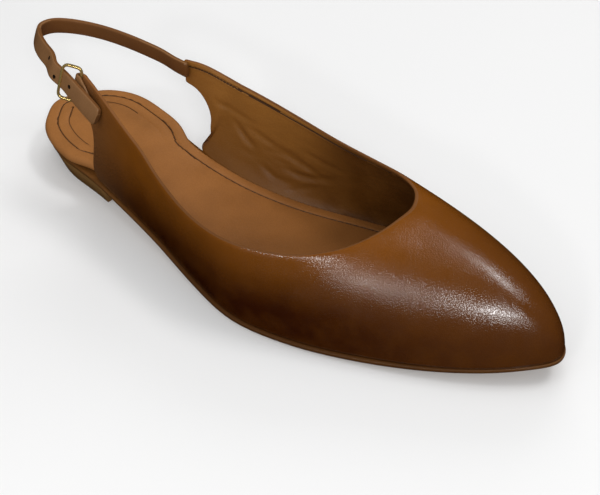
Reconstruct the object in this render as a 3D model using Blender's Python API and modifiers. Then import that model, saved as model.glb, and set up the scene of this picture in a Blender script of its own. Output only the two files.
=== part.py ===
"""A woman's sling back flat, the right shoe of a pair, standing empty on a floor.

The shoe is modelled at its real size, in metres. The toe points along +X, the big toe's side
is +Y and up is +Z. The origin lies on the floor, in the middle of the heel's bottom face.
"""
import math
from collections import namedtuple

import bmesh
import bpy
from mathutils import Vector

# Driving sizes of the shoe
LENGTH = 0.262
BALL_WIDTH = 0.083
THROAT_HEIGHT = 0.048
HEEL_HEIGHT = 0.0103
HEEL_BREAST = 0.056
HEEL_REST = 0.028
TOE_SPRING = 0.0085

# Thicknesses and margins of the pieces
OUTSOLE_THICKNESS = 0.0026
OUTSOLE_ROUNDING = 0.0009
RIM_THICKNESS = 0.0050
RIM_OVERHANG = 0.0012
INSOLE_THICKNESS = 0.0024
INSOLE_PLAY = 0.0005
WALL = 0.0018
SOLE_MARGIN = 0.0010
HEEL_MARGIN = 0.0008
HEEL_TAPER = 0.0030
HEEL_BULGE = 0.55
GAP = 0.0003

# Sling strap, its leather loop and the buckle
STRAP_WIDTH = 0.0085
STRAP_THICKNESS = 0.0022
LOOP_WIDTH = 0.0098
LOOP_THICKNESS = 0.0012
WIRE = 0.0016
BUCKLE_PLAY = 0.0018
BAR_GAP = 0.0006
BACK_BAR_ROW = 12.0
LOOP_LEG_ROWS = 1.6
TAIL_CORNER = 0.0030

# Where the sole's forms begin and end, as shares of the length
SEAT_END = 0.19
SHANK_END = 0.57
SPRING_START = 0.67
RIM_THIN_FROM = 0.42

# Where the bare rim of the heel ends and where it lies inside the upper, on each side
OUTER_RIM_END = (0.145, 0.190)
INNER_RIM_END = (0.215, 0.265)

# How much of the wall's swelling its upper half keeps
UPPER_SWELL = 0.6

# How finely the curved pieces are divided
SOLE_STEPS = 44
RIM_STEPS = 6
UPPER_STEPS_PER_RIB = 3
UPPER_ROWS = 10
STRAP_STEPS_PER_ROW = 4
TAIL_STEPS = (0.24, 0.13, 0.05, 0.0)
LOOP_STEPS = 6
CORNER_STEPS = 4
WIRE_RESOLUTION = 2
SMOOTH_ANGLE = 40.0

# Small steps along a curve, used to read its direction
TURN_STEP = 0.02
STRAP_STEP = 0.05
TAB_STEP = 0.2

# The sole's outline, seen from above: shares of the length and of the ball width
Outline = namedtuple("Outline", "along lateral medial")
OUTLINE = (
    Outline(0.000, 0.000, 0.000),
    Outline(0.015, 0.105, 0.115),
    Outline(0.045, 0.210, 0.240),
    Outline(0.105, 0.290, 0.312),
    Outline(0.190, 0.325, 0.280),
    Outline(0.285, 0.375, 0.230),
    Outline(0.380, 0.425, 0.245),
    Outline(0.475, 0.492, 0.315),
    Outline(0.570, 0.540, 0.415),
    Outline(0.665, 0.490, 0.490),
    Outline(0.760, 0.385, 0.502),
    Outline(0.855, 0.248, 0.438),
    Outline(0.925, 0.118, 0.352),
    Outline(0.975, -0.008, 0.252),
    Outline(1.000, -0.125, 0.125),
)

# The upper's ribs, from the front of the shoe to its back, on each side.
# lower: where the rib starts. On the feather edge it is a share of the length, and the rib's
# across and rise follow the sole. Ribs on the quarter's back edge give them as shares of the
# ball width and of the throat height. top_along, top_across and top_rise place the topline in
# the same way. spring is how far the wall swells outward above its foot, stand how high it
# goes straight up and follow how far it goes towards the topline there. reach and drop place
# the curve's handle below the topline.
Rib = namedtuple("Rib", "lower across rise top_along top_across top_rise"
                        " spring stand follow reach drop")
TOE_RIB = Rib(1.000, None, None, 0.737, 0.110, 1.000, 0.048, 0.430, 0.04, 0.55, 0.160)
LATERAL_RIBS = (
    Rib(0.955, None, None, 0.736, 0.020, 0.985, 0.042, 0.420, 0.04, 0.55, 0.155),
    Rib(0.860, None, None, 0.727, -0.120, 0.945, 0.028, 0.380, 0.04, 0.52, 0.160),
    Rib(0.765, None, None, 0.697, -0.265, 0.865, 0.026, 0.340, 0.05, 0.46, 0.180),
    Rib(0.670, None, None, 0.645, -0.420, 0.835, 0.026, 0.280, 0.10, 0.40, 0.220),
    Rib(0.575, None, None, 0.566, -0.515, 0.833, 0.030, 0.240, 0.20, 0.35, 0.250),
    Rib(0.480, None, None, 0.485, -0.505, 0.850, 0.034, 0.230, 0.30, 0.35, 0.260),
    Rib(0.385, None, None, 0.405, -0.440, 0.925, 0.036, 0.240, 0.33, 0.35, 0.280),
    Rib(0.305, None, None, 0.355, -0.393, 1.040, 0.032, 0.260, 0.33, 0.35, 0.300),
    Rib(0.214, -0.325, 0.290, 0.320, -0.370, 1.115, 0.022, 0.260, 0.33, 0.35, 0.300),
    Rib(0.205, -0.327, 0.410, 0.289, -0.350, 1.185, 0.008, 0.240, 0.33, 0.35, 0.280),
    Rib(0.211, -0.325, 0.580, 0.258, -0.325, 1.238, 0.004, 0.200, 0.33, 0.35, 0.230),
    Rib(0.216, -0.319, 0.760, 0.233, -0.300, 1.255, 0.002, 0.160, 0.33, 0.35, 0.170),
    Rib(0.208, -0.310, 0.930, 0.210, -0.276, 1.273, 0.001, 0.120, 0.33, 0.35, 0.120),
    Rib(0.183, -0.302, 1.060, 0.188, -0.256, 1.293, 0.000, 0.080, 0.33, 0.35, 0.080),
)
MEDIAL_RIBS = (
    Rib(0.955, None, None, 0.723, 0.199, 1.000, 0.042, 0.420, 0.04, 0.55, 0.165),
    Rib(0.860, None, None, 0.702, 0.253, 0.990, 0.026, 0.390, 0.04, 0.52, 0.190),
    Rib(0.765, None, None, 0.672, 0.293, 0.969, 0.018, 0.360, 0.06, 0.44, 0.220),
    Rib(0.670, None, None, 0.625, 0.325, 0.935, 0.022, 0.310, 0.10, 0.36, 0.250),
    Rib(0.575, None, None, 0.552, 0.353, 0.910, 0.032, 0.280, 0.20, 0.35, 0.260),
    Rib(0.495, None, None, 0.480, 0.374, 0.919, 0.038, 0.260, 0.30, 0.35, 0.260),
    Rib(0.420, None, None, 0.418, 0.383, 0.940, 0.045, 0.260, 0.33, 0.35, 0.280),
    Rib(0.350, None, None, 0.377, 0.379, 0.965, 0.042, 0.260, 0.50, 0.35, 0.280),
    Rib(0.285, 0.222, 0.288, 0.343, 0.370, 0.990, 0.026, 0.250, 0.65, 0.35, 0.270),
    Rib(0.295, 0.255, 0.420, 0.322, 0.362, 1.012, 0.010, 0.200, 0.40, 0.35, 0.200),
    Rib(0.296, 0.288, 0.560, 0.300, 0.350, 1.042, 0.004, 0.160, 0.33, 0.35, 0.160),
    Rib(0.281, 0.309, 0.700, 0.278, 0.336, 1.070, 0.002, 0.120, 0.33, 0.35, 0.120),
    Rib(0.258, 0.316, 0.805, 0.256, 0.324, 1.083, 0.001, 0.090, 0.33, 0.35, 0.090),
    Rib(0.232, 0.312, 0.875, 0.232, 0.314, 1.083, 0.000, 0.070, 0.33, 0.35, 0.070),
)

# The sling strap's middle line, from the inner quarter round the heel to the end of the tail:
# shares of the length, the ball width and the throat height, and its lean inwards in degrees
Strap = namedtuple("Strap", "along across rise lean")
STRAP = (
    Strap(0.250, 0.266, 0.985, 4.0),
    Strap(0.220, 0.270, 0.995, 6.0),
    Strap(0.180, 0.282, 1.010, 7.0),
    Strap(0.125, 0.265, 1.035, 8.0),
    Strap(0.070, 0.215, 1.075, 10.0),
    Strap(0.028, 0.135, 1.120, 12.0),
    Strap(0.008, 0.030, 1.175, 15.0),
    Strap(0.013, -0.075, 1.210, 19.0),
    Strap(0.040, -0.150, 1.230, 24.0),
    Strap(0.073, -0.205, 1.245, 27.0),
    Strap(0.106, -0.244, 1.250, 27.0),
    Strap(0.128, -0.285, 1.230, 24.0),
    Strap(0.150, -0.294, 1.205, 19.0),
    Strap(0.172, -0.312, 1.200, 18.0),
    Strap(0.192, -0.325, 1.170, 18.0),
    Strap(0.215, -0.337, 1.135, 18.0),
    Strap(0.250, -0.353, 1.075, 18.0),
)


def clear_scene():
    for item in list(bpy.data.objects):
        bpy.data.objects.remove(item, do_unlink=True)


def make_material(name, colour, roughness, metallic=0.0):
    material = bpy.data.materials.new(name)
    material.use_nodes = True
    shader = material.node_tree.nodes["Principled BSDF"]
    shader.inputs["Base Color"].default_value = (*colour, 1.0)
    shader.inputs["Roughness"].default_value = roughness
    shader.inputs["Metallic"].default_value = metallic
    return material


def ease(value, start, end):
    """Go smoothly from 0 at start to 1 at end."""
    share = min(max((value - start) / (end - start), 0.0), 1.0)
    return share * share * (3.0 - 2.0 * share)


def smooth_between(knots, values, where):
    """Read a smooth curve through values at rising knots."""
    last = len(knots) - 1
    step = 0
    while step < last - 1 and where > knots[step + 1]:
        step += 1

    def slope(index):
        before, after = max(index - 1, 0), min(index + 1, last)
        return (values[after] - values[before]) / (knots[after] - knots[before])

    width = knots[step + 1] - knots[step]
    t = (where - knots[step]) / width
    start, end = values[step], values[step + 1]
    bend_in, bend_out = slope(step) * width, slope(step + 1) * width
    return ((2 * t**3 - 3 * t**2 + 1) * start + (t**3 - 2 * t**2 + t) * bend_in
            + (3 * t**2 - 2 * t**3) * end + (t**3 - t**2) * bend_out)


def turn_at(along):
    """The angle at which an outline walked from the heel reaches a share of the length."""
    return math.acos(1.0 - 2.0 * along)


def outline_knots():
    """The outline as one closed walk: heel, outer side, toe, inner side, heel."""
    walk = [(turn_at(row.along), -row.lateral) for row in OUTLINE]
    walk += [(2 * math.pi - turn_at(row.along), row.medial) for row in reversed(OUTLINE[1:-1])]
    before = [(turn - 2 * math.pi, across) for turn, across in walk[-3:]]
    after = [(turn + 2 * math.pi, across) for turn, across in walk[:3]]
    return list(zip(*(before + walk + after)))


TURNS, ACROSS = outline_knots()


def outline(turn):
    """A point of the sole's outline, measured from the back of the heel."""
    across = smooth_between(TURNS, ACROSS, turn % (2 * math.pi))
    return Vector((LENGTH * (1.0 - math.cos(turn)) / 2.0, across * BALL_WIDTH))


def outward(turn):
    """The outline's direction outwards."""
    run = outline(turn + TURN_STEP) - outline(turn - TURN_STEP)
    return Vector((run.y, -run.x)).normalized()


def inset_point(turn, inset):
    return outline(turn) - outward(turn) * inset


def underside(x):
    """Height of the outsole's underside: level seat, sloping shank, flat tread, toe spring."""
    shank = 1.0 - ease(x, SEAT_END * LENGTH, SHANK_END * LENGTH)
    toe = max((x - SPRING_START * LENGTH) / ((1.0 - SPRING_START) * LENGTH), 0.0)
    return HEEL_HEIGHT * shank + TOE_SPRING * toe**2


def feather(x):
    """Height at which the upper and the insole stand on the outsole."""
    return underside(x) + OUTSOLE_THICKNESS + GAP


def place(x, y, z):
    """A point measured from the back of the heel, in the shoe's own frame."""
    return Vector((x - HEEL_REST, y, z))


def sole_ring(inset_at, height_at, end_turn=math.pi):
    """A level loop: outer side from heel to end, then inner side back to the heel."""
    outer = [end_turn * step / SOLE_STEPS for step in range(SOLE_STEPS + 1)]
    inner = [2 * math.pi - turn for turn in reversed(outer[1:])]
    if end_turn >= math.pi:
        inner = inner[1:]
    ring = []
    for turn in outer + inner:
        spot = inset_point(turn, inset_at(outline(turn)))
        ring.append(place(spot.x, spot.y, height_at(spot.x)))
    return ring


def add_object(name, mesh_data, material, collection):
    mesh = bpy.data.meshes.new(name)
    mesh_data.to_mesh(mesh)
    mesh_data.free()
    mesh.materials.append(material)
    mesh.shade_smooth()
    mesh.set_sharp_from_angle(angle=math.radians(SMOOTH_ANGLE))
    item = bpy.data.objects.new(name, mesh)
    collection.objects.link(item)
    return item


def close_ends(mesh, ring, flip):
    """Fill a loop with strips that run from its outer side across to its inner side."""
    count = len(ring)
    for step in range(count // 2):
        corners = [ring[step], ring[step + 1], ring[count - step - 1], ring[-step % count]]
        corners = list(dict.fromkeys(corners))
        if len(corners) > 2:
            mesh.faces.new(corners[::-1] if flip else corners)


def stack_rings(rings):
    """Loft through loops of equal count, from the lowest to the highest, with both ends closed."""
    mesh = bmesh.new()
    levels = [[mesh.verts.new(point) for point in ring] for ring in rings]
    count = len(levels[0])
    for low, high in zip(levels, levels[1:]):
        for step in range(count):
            after = (step + 1) % count
            mesh.faces.new((low[step], low[after], high[after], high[step]))
    close_ends(mesh, levels[0], flip=True)
    close_ends(mesh, levels[-1], flip=False)
    bmesh.ops.recalc_face_normals(mesh, faces=mesh.faces)
    return mesh


def make_outsole(material, collection):
    """The thin leather sole, flush under the upper, with its lower edge slightly rounded."""
    rings = [
        sole_ring(lambda edge: OUTSOLE_ROUNDING, underside),
        sole_ring(lambda edge: 0.0, lambda x: underside(x) + OUTSOLE_ROUNDING),
        sole_ring(lambda edge: 0.0, lambda x: underside(x) + OUTSOLE_THICKNESS),
    ]
    return add_object("outsole", stack_rings(rings), material, collection)


def make_heel(material, collection):
    """The low block heel, tapered towards the floor and cut flat at its breast."""
    end_turn = turn_at(HEEL_BREAST / LENGTH)

    def ring(share):
        inset = HEEL_MARGIN + HEEL_TAPER * (1.0 - share)
        return sole_ring(lambda edge: inset, lambda x: (underside(x) - GAP) * share, end_turn)

    rings = [ring(0.0), ring(HEEL_BULGE), ring(1.0)]
    return add_object("heel", stack_rings(rings), material, collection)


def insole_inset(edge):
    """The insole reaches the sole's edge at the open heel and fits inside the upper in front."""
    inside = SOLE_MARGIN + WALL + INSOLE_PLAY
    start, end = OUTER_RIM_END if edge.y < 0.0 else INNER_RIM_END
    turn_in = ease(edge.x, start * LENGTH, end * LENGTH)
    return (inside + RIM_OVERHANG) * turn_in - RIM_OVERHANG


def insole_thickness(x):
    thinning = ease(x, SEAT_END * LENGTH, RIM_THIN_FROM * LENGTH)
    return RIM_THICKNESS + (INSOLE_THICKNESS - RIM_THICKNESS) * thinning


def make_insole(material, collection):
    """The leather covered insole, with a full round rim where the heel leaves it bare."""
    rings = []
    for level in range(RIM_STEPS + 1):
        angle = math.pi * (level / RIM_STEPS - 0.5)
        pull = 1.0 - math.cos(angle)
        lift = 1.0 + math.sin(angle)
        rings.append(sole_ring(
            lambda edge: insole_inset(edge) + pull * insole_thickness(edge.x) / 2,
            lambda x: feather(x) + lift * insole_thickness(x) / 2))
    return add_object("insole", stack_rings(rings), material, collection)


def rib_foot(rib, side):
    """Where a rib starts: on the feather edge, or on the quarter's back edge."""
    if rib.across is None:
        turn = turn_at(rib.lower) if side < 0 else 2 * math.pi - turn_at(rib.lower)
        spot = inset_point(turn, SOLE_MARGIN)
        return Vector((spot.x, spot.y, feather(spot.x))), outward(turn)
    foot = Vector((rib.lower * LENGTH, rib.across * BALL_WIDTH, rib.rise * THROAT_HEIGHT))
    return foot, Vector((0.0, side))


def all_ribs():
    """Every rib as numbers, from the outer quarter's end round the toe to the inner one."""
    order = [(rib, -1) for rib in reversed(LATERAL_RIBS)] + [(TOE_RIB, -1)]
    order += [(rib, 1) for rib in MEDIAL_RIBS]
    rows = []
    for rib, side in order:
        foot, away = rib_foot(rib, side)
        top = Vector((rib.top_along * LENGTH, rib.top_across * BALL_WIDTH,
                      rib.top_rise * THROAT_HEIGHT))
        rows.append((*foot, *away, *top, rib.spring * BALL_WIDTH, rib.stand * THROAT_HEIGHT,
                     rib.follow, rib.reach, rib.drop * THROAT_HEIGHT))
    return rows


def foot_turn(where):
    """The outline's turn for a column between two ribs that both stand on the feather edge."""
    outer = [turn_at(rib.lower) for rib in reversed(LATERAL_RIBS) if rib.across is None]
    inner = [2 * math.pi - turn_at(rib.lower) for rib in MEDIAL_RIBS if rib.across is None]
    first = len(LATERAL_RIBS) - len(outer)
    last = len(LATERAL_RIBS) + len(inner)
    if where < first or where > last:
        return None
    return smooth_between(list(range(first, last + 1)), outer + [math.pi] + inner, where)


def upper_column(rows, where):
    """One smooth curve up the last, from the upper's foot to its topline."""
    knots = list(range(len(rows)))
    values = [smooth_between(knots, column, where) for column in zip(*rows)]
    foot, away, top = Vector(values[0:3]), Vector((*values[3:5], 0.0)), Vector(values[5:8])
    spring, stand, follow, reach, drop = values[8:13]
    turn = foot_turn(where)
    if turn is not None:
        spot = inset_point(turn, SOLE_MARGIN)
        foot = Vector((spot.x, spot.y, feather(spot.x)))
        away = Vector((*outward(turn), 0.0))
    level = Vector((foot.x - top.x, foot.y - top.y, 0.0))
    low_handle = foot - level * follow + away * spring + Vector((0.0, 0.0, stand))
    high_handle = top + level * reach + away * spring * UPPER_SWELL - Vector((0.0, 0.0, drop))
    column = []
    for step in range(UPPER_ROWS + 1):
        t = step / UPPER_ROWS
        column.append(foot * (1 - t)**3 + low_handle * 3 * t * (1 - t)**2
                      + high_handle * 3 * t**2 * (1 - t) + top * t**3)
    return column


def make_upper(material, collection):
    """The upper: one hollow wall over the last, open at the top, the heel and underneath."""
    rows = all_ribs()
    count = (len(rows) - 1) * UPPER_STEPS_PER_RIB
    mesh = bmesh.new()
    grid = []
    for step in range(count + 1):
        column = upper_column(rows, step / UPPER_STEPS_PER_RIB)
        grid.append([mesh.verts.new(place(*point)) for point in column])
    for left, right in zip(grid, grid[1:]):
        for low in range(UPPER_ROWS):
            mesh.faces.new((left[low], right[low], right[low + 1], left[low + 1]))
    item = add_object("upper", mesh, material, collection)
    wall = item.modifiers.new("wall", "SOLIDIFY")
    wall.thickness = WALL
    wall.offset = -1.0
    return item


def strap_point(where):
    """Middle, direction along, direction across and direction out of the strap at a row."""
    knots = list(range(len(STRAP)))
    columns = list(zip(*STRAP))

    def middle(spot):
        along, across, rise = (smooth_between(knots, column, spot) for column in columns[:3])
        return place(along * LENGTH, across * BALL_WIDTH, rise * THROAT_HEIGHT)

    before, after = max(where - STRAP_STEP, 0.0), min(where + STRAP_STEP, knots[-1])
    run = (middle(after) - middle(before)).normalized()
    lean = math.radians(smooth_between(knots, columns[3], where))
    out = Vector((run.y, -run.x, 0.0)).normalized()
    across = Vector((0.0, 0.0, math.cos(lean))) - out * math.sin(lean)
    across = (across - run * across.dot(run)).normalized()
    return middle(where), run, across, run.cross(across).normalized()


def band_section(middle, across, out, width, thickness):
    """A flat band's section with full round edges."""
    half = thickness / 2
    core = max(width / 2 - half, 0.0)
    section = []
    for side in (1, -1):
        for angle in (-90, -45, 0, 45, 90):
            turn = math.radians(angle)
            section.append(middle + across * side * (core + half * math.cos(turn))
                           - out * side * half * math.sin(turn))
    return section


def make_band(name, sections, material, collection):
    mesh = bmesh.new()
    loops = [[mesh.verts.new(point) for point in section] for section in sections]
    count = len(loops[0])
    for near, far in zip(loops, loops[1:]):
        for step in range(count):
            after = (step + 1) % count
            mesh.faces.new((near[step], near[after], far[after], far[step]))
    mesh.faces.new(loops[0])
    mesh.faces.new(loops[-1])
    bmesh.ops.recalc_face_normals(mesh, faces=mesh.faces)
    return add_object(name, mesh, material, collection)


def make_strap(material, collection):
    """The sling strap, from the inner quarter round the heel to its tail with rounded corners."""
    last = len(STRAP) - 1
    places = [step / STRAP_STEPS_PER_ROW for step in range(last * STRAP_STEPS_PER_ROW)]
    places += [last - back for back in TAIL_STEPS]
    rows = [strap_point(place) for place in places]
    end = rows[-1][0]
    sections = []
    for middle, _, across, out in rows:
        into_corner = 1.0 - min((end - middle).length / TAIL_CORNER, 1.0)
        width = STRAP_WIDTH - 2 * TAIL_CORNER * (1.0 - math.sqrt(1.0 - into_corner**2))
        sections.append(band_section(middle, across, out, width, STRAP_THICKNESS))
    return make_band("sling_strap", sections, material, collection)


def tab_point(rows, where):
    """Middle of the quarter's tab, its direction forwards, across and outwards."""
    column, ahead = upper_column(rows, where), upper_column(rows, where + TAB_STEP)
    half = UPPER_ROWS // 2
    across = (column[-1] - column[0]).normalized()
    run = (ahead[half] - column[half]).normalized()
    run = (run - across * run.dot(across)).normalized()
    out = run.cross(across).normalized()
    return place(*column[half]) - out * WALL / 2, run, across, out


def make_strap_loop(rows, material, collection):
    """The leather fold that ties the buckle's inner bar to the quarter's tab."""
    reach = WALL / 2 + GAP + LOOP_THICKNESS / 2
    leg_rows = [LOOP_LEG_ROWS * step / LOOP_STEPS for step in range(LOOP_STEPS + 1)]
    sections = []

    def add(middle, run, across, out):
        sections.append(band_section(middle, across, out, LOOP_WIDTH, LOOP_THICKNESS))

    for where in reversed(leg_rows):
        middle, run, across, out = tab_point(rows, where)
        add(middle - out * reach, -run, across, -out)
    middle, run, across, out = tab_point(rows, 0.0)
    centre = middle - run * (GAP + WIRE / 2)
    for step in range(LOOP_STEPS + 1):
        turn = math.pi * (step / LOOP_STEPS - 0.5)
        away = out * math.sin(turn) - run * math.cos(turn)
        add(centre + away * reach, run, across, away)
    for where in leg_rows:
        middle, run, across, out = tab_point(rows, where)
        add(middle + out * reach, run, across, out)
    return make_band("strap_loop", sections, material, collection)


def make_buckle(rows, material, collection):
    """The wire frame: its front bar lies in the loop, its back bar over the strap."""
    middle, run, sideways, _ = tab_point(rows, 0.0)
    front_bar = middle - run * (GAP + WIRE / 2)
    strap_middle, _, _, strap_out = strap_point(BACK_BAR_ROW)
    over_strap = strap_middle + strap_out * (STRAP_THICKNESS / 2 + BAR_GAP + WIRE / 2)
    span = front_bar - over_strap
    span -= sideways * span.dot(sideways)
    lengthwise = span.normalized()
    corner = BUCKLE_PLAY + WIRE / 2
    half_length = span.length / 2
    half_height = max(STRAP_WIDTH, LOOP_WIDTH) / 2 + corner
    centre = front_bar - span / 2
    points = []
    for sign_x, sign_y, first in ((1, 1, 0), (-1, 1, 90), (-1, -1, 180), (1, -1, 270)):
        for step in range(CORNER_STEPS + 1):
            turn = math.radians(first + 90 * step / CORNER_STEPS)
            x = sign_x * (half_length - corner) + corner * math.cos(turn)
            y = sign_y * (half_height - corner) + corner * math.sin(turn)
            points.append(centre + lengthwise * x + sideways * y)
    curve = bpy.data.curves.new("buckle", "CURVE")
    curve.dimensions = "3D"
    curve.bevel_depth = WIRE / 2
    curve.bevel_resolution = WIRE_RESOLUTION
    spline = curve.splines.new("POLY")
    spline.points.add(len(points) - 1)
    for spot, point in zip(spline.points, points):
        spot.co = (*point, 1.0)
    spline.use_cyclic_u = True
    curve.materials.append(material)
    item = bpy.data.objects.new("buckle", curve)
    collection.objects.link(item)
    return item


def main():
    clear_scene()
    shoe = bpy.data.collections.new("sling_back_flat")
    bpy.context.scene.collection.children.link(shoe)
    leather = make_material("cognac_leather", (0.20, 0.075, 0.025), 0.40)
    lining = make_material("tan_lining", (0.30, 0.13, 0.045), 0.50)
    dark = make_material("dark_sole", (0.045, 0.022, 0.010), 0.55)
    brass = make_material("brass", (0.60, 0.42, 0.16), 0.25, 1.0)
    make_outsole(dark, shoe)
    make_heel(dark, shoe)
    make_insole(lining, shoe)
    make_upper(leather, shoe)
    make_strap(leather, shoe)
    rows = all_ribs()
    make_strap_loop(rows, leather, shoe)
    make_buckle(rows, brass, shoe)


main()
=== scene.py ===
# %% [markdown]
# A sling back flat in cognac leather.
# This script dresses one right shoe, which was modelled before as a set of plain solids. Each
# piece of the shoe gets its final shape here: rounded leather edges, a stitched sock, punched
# holes and soft creases. Then come the leathers, the metal, the lights and the camera.
# Lengths are in metres. The toe points along +X, the big toe's side is +Y and up is +Z.

# %% Load the plain solids
import math

import bmesh
import bpy
from mathutils import Matrix, Vector, geometry


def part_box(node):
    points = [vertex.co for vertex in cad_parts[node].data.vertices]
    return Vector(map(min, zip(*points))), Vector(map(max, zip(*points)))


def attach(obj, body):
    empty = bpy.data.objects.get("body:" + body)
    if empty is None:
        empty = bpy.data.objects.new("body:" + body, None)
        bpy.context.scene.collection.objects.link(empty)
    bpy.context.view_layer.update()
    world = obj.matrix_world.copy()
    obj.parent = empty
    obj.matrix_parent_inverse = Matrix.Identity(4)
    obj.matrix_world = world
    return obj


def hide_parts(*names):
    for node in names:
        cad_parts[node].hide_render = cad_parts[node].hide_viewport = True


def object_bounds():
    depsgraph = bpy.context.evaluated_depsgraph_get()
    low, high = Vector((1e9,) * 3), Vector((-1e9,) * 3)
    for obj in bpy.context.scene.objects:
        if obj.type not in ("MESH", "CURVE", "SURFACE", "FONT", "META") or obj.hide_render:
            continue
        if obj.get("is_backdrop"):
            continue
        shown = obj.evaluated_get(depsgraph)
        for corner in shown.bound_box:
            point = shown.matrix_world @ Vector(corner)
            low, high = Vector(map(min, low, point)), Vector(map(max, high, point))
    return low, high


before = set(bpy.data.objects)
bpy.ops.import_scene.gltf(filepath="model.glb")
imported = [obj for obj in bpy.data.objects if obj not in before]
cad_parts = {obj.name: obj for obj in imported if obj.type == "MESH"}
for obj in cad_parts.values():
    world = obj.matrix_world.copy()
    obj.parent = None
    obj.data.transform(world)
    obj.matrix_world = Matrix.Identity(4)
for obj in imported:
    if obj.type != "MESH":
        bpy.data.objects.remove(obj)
cad_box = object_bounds()
print("the solids reach from", cad_box[0], "to", cad_box[1])

# %% [markdown]
# The driving sizes are read from the solids, so that the details follow them. The shoe's length,
# the ball's width and the quarter's height place the creases, the holes and the lights.

# %% Sizes that the details follow
sole_low, sole_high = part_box("outsole")
LENGTH = sole_high.x - sole_low.x
WIDTH = sole_high.y - sole_low.y
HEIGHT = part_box("upper")[1].z
HEEL_BACK = sole_low.x
print(f"length {LENGTH:.3f}, width {WIDTH:.3f}, height {HEIGHT:.3f}")


def spot(along, across, rise):
    """A point given as shares of the shoe's length, width and height."""
    return Vector((HEEL_BACK + along * LENGTH, across * WIDTH, rise * HEIGHT))


# %% [markdown]
# An operator works on all that is selected, so every step starts with a clean selection. A solid
# whose form is right is copied first, and the copy is welded, because the solids arrive as loose
# triangles. Pairs of triangles become quads again, which subdivide into smooth leather.

# %% Copy a solid, weld it and finish it
WELD_WITHIN = 0.00001
QUAD_BEND = math.radians(50.0)
QUAD_SKEW = math.radians(80.0)


def select_only(item):
    bpy.ops.object.select_all(action="DESELECT")
    item.select_set(True)
    bpy.context.view_layer.objects.active = item


def welded_copy(node, name):
    item = bpy.data.objects.new(name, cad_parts[node].data.copy())
    bpy.context.scene.collection.objects.link(item)
    select_only(item)
    bpy.ops.object.mode_set(mode="EDIT")
    bpy.ops.mesh.select_all(action="SELECT")
    bpy.ops.mesh.customdata_custom_splitnormals_clear()
    bpy.ops.mesh.remove_doubles(threshold=WELD_WITHIN)
    bpy.ops.mesh.tris_convert_to_quads(face_threshold=QUAD_BEND, shape_threshold=QUAD_SKEW)
    bpy.ops.object.mode_set(mode="OBJECT")
    item.data.materials.clear()
    print(name, "starts with", len(item.data.polygons), "faces")
    return item


def finish_with(item, kind, **settings):
    """Add a modifier, set it and apply it."""
    select_only(item)
    bpy.ops.object.modifier_add(type=kind)
    modifier = item.modifiers[-1]
    for key, value in settings.items():
        setattr(modifier, key, value)
    bpy.ops.object.modifier_apply(modifier=modifier.name)


def smooth(item, levels):
    finish_with(item, "SUBSURF", levels=levels, render_levels=levels)
    bpy.ops.object.shade_smooth()


def install(item, slot, *nodes):
    """Let the piece stand for its solids and move with the shoe."""
    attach(item, "root")
    if nodes:
        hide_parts(*nodes)


# %% [markdown]
# Faces are picked in code, by their place, and then handed to the operators of edit mode. Two
# small helpers do that here: one selects the faces that pass a test, the other runs an inset on
# them, which adds a border of its own width and pushes the middle in or out.

# %% Pick faces and inset them
def pick_faces(item, wanted):
    select_only(item)
    for vertex in item.data.vertices:
        vertex.select = False
    for edge in item.data.edges:
        edge.select = False
    for face in item.data.polygons:
        face.select = wanted(face)
    count = sum(face.select for face in item.data.polygons)
    bpy.ops.object.mode_set(mode="EDIT")
    bpy.ops.mesh.select_mode(type="FACE")
    return count


def inset(width, depth=0.0):
    bpy.ops.mesh.inset(thickness=width, depth=depth, use_even_offset=True, use_boundary=True)


# %% [markdown]
# Some shapes are set vertex by vertex. For that a mesh is opened as a working copy, whose faces
# know their neighbours, and it is written back when the step is done.

# %% Open a mesh and write it back
def open_mesh(item):
    work = bmesh.new()
    work.from_mesh(item.data)
    work.normal_update()
    return work


def write_back(work, item):
    work.to_mesh(item.data)
    work.free()


# %% [markdown]
# The upper is one wall of leather and lining. To shape its edges, the script has to know which
# faces lie outside, which inside, and which are the narrow rim between them. A rim face has a
# sharp edge on two opposite sides. The others fall into two islands, and the larger one is the
# outside. Their material numbers keep the three apart, also through subdivision.

# %% Tell the upper's outside, inside and rim apart
OUTSIDE, INSIDE, RIM = 0, 1, 2
SHARP = math.radians(30.0)


def is_rim(face):
    edges = [edge for edge in face.edges if edge.calc_face_angle(0.0) > SHARP]
    return any(not set(a.verts) & set(b.verts) for a in edges for b in edges if a != b)


def islands(faces, bend=math.pi):
    """Groups of faces that hang together across soft edges, the largest area first."""
    left, groups = set(faces), []
    while left:
        group, border = [], [left.pop()]
        while border:
            face = border.pop()
            group.append(face)
            near = {other for edge in face.edges if edge.calc_face_angle(0.0) < bend
                    for other in edge.link_faces} & left
            left -= near
            border.extend(near)
        groups.append(group)
    return sorted(groups, key=lambda group: -sum(face.calc_area() for face in group))


upper = welded_copy("upper", "upper_leather")
work = open_mesh(upper)
for face in work.faces:
    face.material_index = RIM if is_rim(face) else INSIDE
sides = islands(face for face in work.faces if face.material_index == INSIDE)
for face in sides[0]:
    face.material_index = OUTSIDE
print("upper: islands of", [len(group) for group in sides], "faces")
write_back(work, upper)

# %% [markdown]
# At its foot the lining turns in under the insole, so no light gets in between the two. The
# inner edge of the foot is drawn inwards for that, and its edges are creased, which keeps them
# crisp when the wall is subdivided. The working copy stays open for the next three steps.

# %% Turn the lining in at the foot
FOOT_TURN_IN = 0.0016
FOOT_CREASE = 0.8
FOOT_BELOW = 0.45 * HEIGHT
FOOT_LOOKS_DOWN = -0.5

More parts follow.
